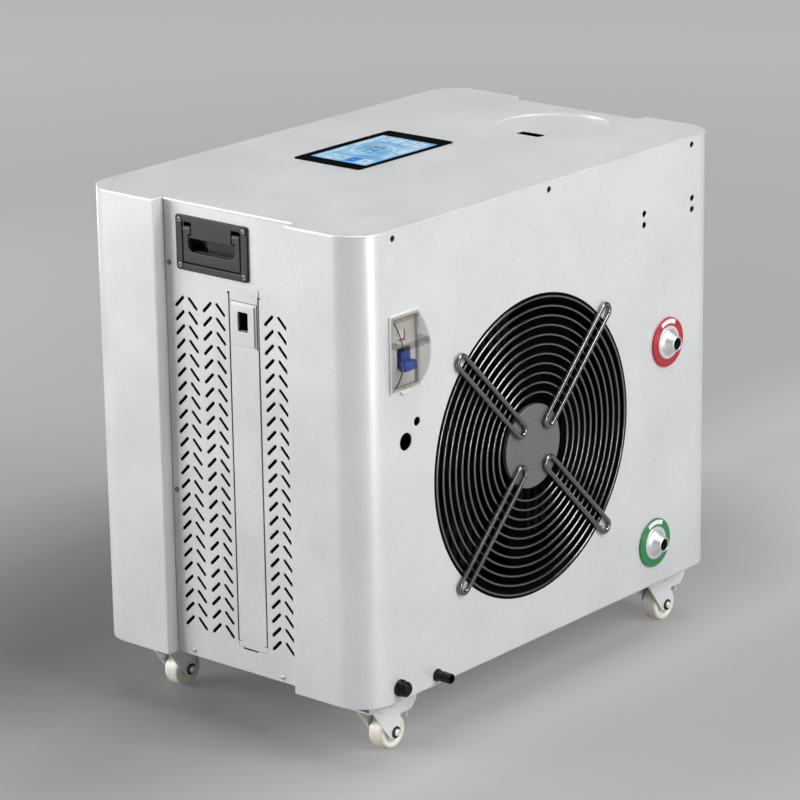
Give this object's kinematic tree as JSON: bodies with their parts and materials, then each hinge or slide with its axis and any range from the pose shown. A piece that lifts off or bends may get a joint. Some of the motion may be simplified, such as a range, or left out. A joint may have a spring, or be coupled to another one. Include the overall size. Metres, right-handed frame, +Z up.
{
  "type": "ice bath chiller",
  "caption": "Wheeled sheet-metal water chiller with fan guard, louvred ends, touch display, breaker under a clear lid, water ports and fold-out handles.",
  "frame": {"origin": "on the floor, under the middle of the chiller's bounding box", "axes": "+Z up; +X along the fan face towards the water ports; +Y from the fan face to the rear wall"},
  "size_m": [0.73, 0.484, 0.6878],
  "materials": {
    "cabinet_coat": "satin light grey powder coat with a fine texture",
    "display_black": "gloss black",
    "display_glass": "glossy touch glass over a lit screen",
    "handle_grey": "satin dark grey",
    "guard_wire": "gloss black dip-coated wire",
    "fan_black": "moulded black",
    "motor_case": "satin grey",
    "condenser_fins": "mill",
    "breaker_ivory": "semi-gloss ivory",
    "breaker_smoke": "clear smoke-tinted",
    "lever_blue": "semi-gloss blue",
    "ring_red": "semi-gloss red",
    "ring_green": "semi-gloss green",
    "port_metal": "fine satin turned",
    "drain_black": "satin black",
    "caster_zinc": "bright zinc plate",
    "wheel_nylon": "moulded cream nylon",
    "compressor_black": "semi-gloss black",
    "exchanger_foam": "black closed-cell insulation over the shell",
    "filter_blue": "gloss blue",
    "box_ivory": "moulded ivory",
    "copper_pipe": "drawn copper",
    "hose_grey": "braided grey hose"
  },
  "bodies": {
    "cabinet": {"base_pan": "cabinet_coat", "front_panel": "cabinet_coat", "rear_panel": "cabinet_coat", "left_panel": "cabinet_coat", "right_panel": "cabinet_coat", "top_cover": "cabinet_coat", "display_frame": "display_black", "display_screen": "display_glass", "handle_tray_left": "handle_grey", "handle_tray_right": "handle_grey", "fan_guard": "guard_wire", "fan_shroud": "fan_black", "fan_motor": "motor_case", "condenser": "condenser_fins", "breaker_frame": "breaker_ivory", "breaker_module": "breaker_ivory", "outlet_ring": "ring_red", "outlet_port": "port_metal", "inlet_ring": "ring_green", "inlet_port": "port_metal", "drain_plug": "drain_black", "drain_spout": "drain_black", "caster_plate_front_left": "caster_zinc", "caster_plate_front_right": "caster_zinc", "caster_plate_rear_left": "caster_zinc", "caster_plate_rear_right": "caster_zinc", "compressor": "compressor_black", "heat_exchanger": "exchanger_foam", "water_pump": "compressor_black", "filter_housing": "filter_blue", "control_box": "box_ivory", "discharge_pipe": "copper_pipe", "suction_pipe": "copper_pipe", "inlet_hose": "hose_grey", "pump_hose": "hose_grey", "feed_hose": "hose_grey", "outlet_hose": "hose_grey"},
    "bail_left": {"handle_bail_left": "handle_grey"},
    "bail_right": {"handle_bail_right": "handle_grey"},
    "breaker_lid": {"breaker_lid": "breaker_smoke"},
    "breaker_lever": {"breaker_lever": "lever_blue"},
    "test_button": {"test_button": "breaker_ivory"},
    "filter_lid": {"filter_lid": "cabinet_coat"},
    "filter_cap": {"filter_cap": "drain_black"},
    "service_cover": {"service_cover": "cabinet_coat", "cover_pull": "cabinet_coat"},
    "fan_rotor": {"fan_rotor": "fan_black"},
    "drain_cap": {"drain_cap": "drain_black"},
    "swivel_front_left": {"caster_fork_front_left": "caster_zinc", "caster_axle_front_left": "caster_zinc"},
    "swivel_front_right": {"caster_fork_front_right": "caster_zinc", "caster_axle_front_right": "caster_zinc"},
    "swivel_rear_left": {"caster_fork_rear_left": "caster_zinc", "caster_axle_rear_left": "caster_zinc"},
    "swivel_rear_right": {"caster_fork_rear_right": "caster_zinc", "caster_axle_rear_right": "caster_zinc"},
    "wheel_front_left": {"caster_wheel_front_left": "wheel_nylon"},
    "wheel_front_right": {"caster_wheel_front_right": "wheel_nylon"},
    "wheel_rear_left": {"caster_wheel_rear_left": "wheel_nylon"},
    "wheel_rear_right": {"caster_wheel_rear_right": "wheel_nylon"}
  },
  "joints": [
    {"name": "bail_left_swing", "type": "hinge", "parent": "cabinet", "child": "bail_left", "pos_m": [-0.3458, 0.0365, 0.65425], "axis": [0, 1, 0], "range_deg": [0, 90]},
    {"name": "bail_right_swing", "type": "hinge", "parent": "cabinet", "child": "bail_right", "pos_m": [0.3458, 0.0365, 0.65425], "axis": [0, -1, 0], "range_deg": [0, 90]},
    {"name": "breaker_lid_swing", "type": "hinge", "parent": "cabinet", "child": "breaker_lid", "pos_m": [-0.2872, -0.2206, 0.57925], "axis": [-1, 0, 0], "range_deg": [0, 100]},
    {"name": "breaker_lever_throw", "type": "hinge", "parent": "cabinet", "child": "breaker_lever", "pos_m": [-0.2872, -0.2095, 0.5215], "axis": [-1, 0, 0], "range_deg": [0, 50]},
    {"name": "test_button_press", "type": "slide", "parent": "cabinet", "child": "test_button", "axis": [0, 1, 0], "range_m": [0, 0.0015], "stiffness_N_per_m": 300},
    {"name": "filter_lid_lift", "type": "slide", "parent": "cabinet", "child": "filter_lid", "axis": [0, 0, 1], "range_m": [0, 0.06]},
    {"name": "filter_cap_turn", "type": "hinge", "parent": "cabinet", "child": "filter_cap", "pos_m": [0.2453, -0.0344, 0.66], "axis": [0, 0, 1], "continuous": true},
    {"name": "service_cover_tip", "type": "hinge", "parent": "cabinet", "child": "service_cover", "pos_m": [-0.346, -0.0123, 0.1168], "axis": [0, -1, 0], "range_deg": [0, 60]},
    {"name": "fan_spin", "type": "hinge", "parent": "cabinet", "child": "fan_rotor", "pos_m": [-0.035, -0.185, 0.3475], "axis": [0, 1, 0], "continuous": true},
    {"name": "drain_cap_pull", "type": "slide", "parent": "cabinet", "child": "drain_cap", "axis": [0, -1, 0], "range_m": [0, 0.03]},
    {"name": "swivel_front_left_turn", "type": "hinge", "parent": "cabinet", "child": "swivel_front_left", "pos_m": [-0.289, -0.164, 0.06], "axis": [0, 0, 1], "continuous": true},
    {"name": "swivel_front_right_turn", "type": "hinge", "parent": "cabinet", "child": "swivel_front_right", "pos_m": [0.289, -0.164, 0.06], "axis": [0, 0, 1], "continuous": true},
    {"name": "swivel_rear_left_turn", "type": "hinge", "parent": "cabinet", "child": "swivel_rear_left", "pos_m": [-0.289, 0.188, 0.06], "axis": [0, 0, 1], "continuous": true},
    {"name": "swivel_rear_right_turn", "type": "hinge", "parent": "cabinet", "child": "swivel_rear_right", "pos_m": [0.289, 0.188, 0.06], "axis": [0, 0, 1], "continuous": true},
    {"name": "wheel_front_left_roll", "type": "hinge", "parent": "swivel_front_left", "child": "wheel_front_left", "pos_m": [-0.268, -0.164, 0.023], "axis": [0, 1, 0], "continuous": true},
    {"name": "wheel_front_right_roll", "type": "hinge", "parent": "swivel_front_right", "child": "wheel_front_right", "pos_m": [0.31, -0.164, 0.023], "axis": [0, 1, 0], "continuous": true},
    {"name": "wheel_rear_left_roll", "type": "hinge", "parent": "swivel_rear_left", "child": "wheel_rear_left", "pos_m": [-0.268, 0.188, 0.023], "axis": [0, 1, 0], "continuous": true},
    {"name": "wheel_rear_right_roll", "type": "hinge", "parent": "swivel_rear_right", "child": "wheel_rear_right", "pos_m": [0.31, 0.188, 0.023], "axis": [0, 1, 0], "continuous": true}
  ]
}
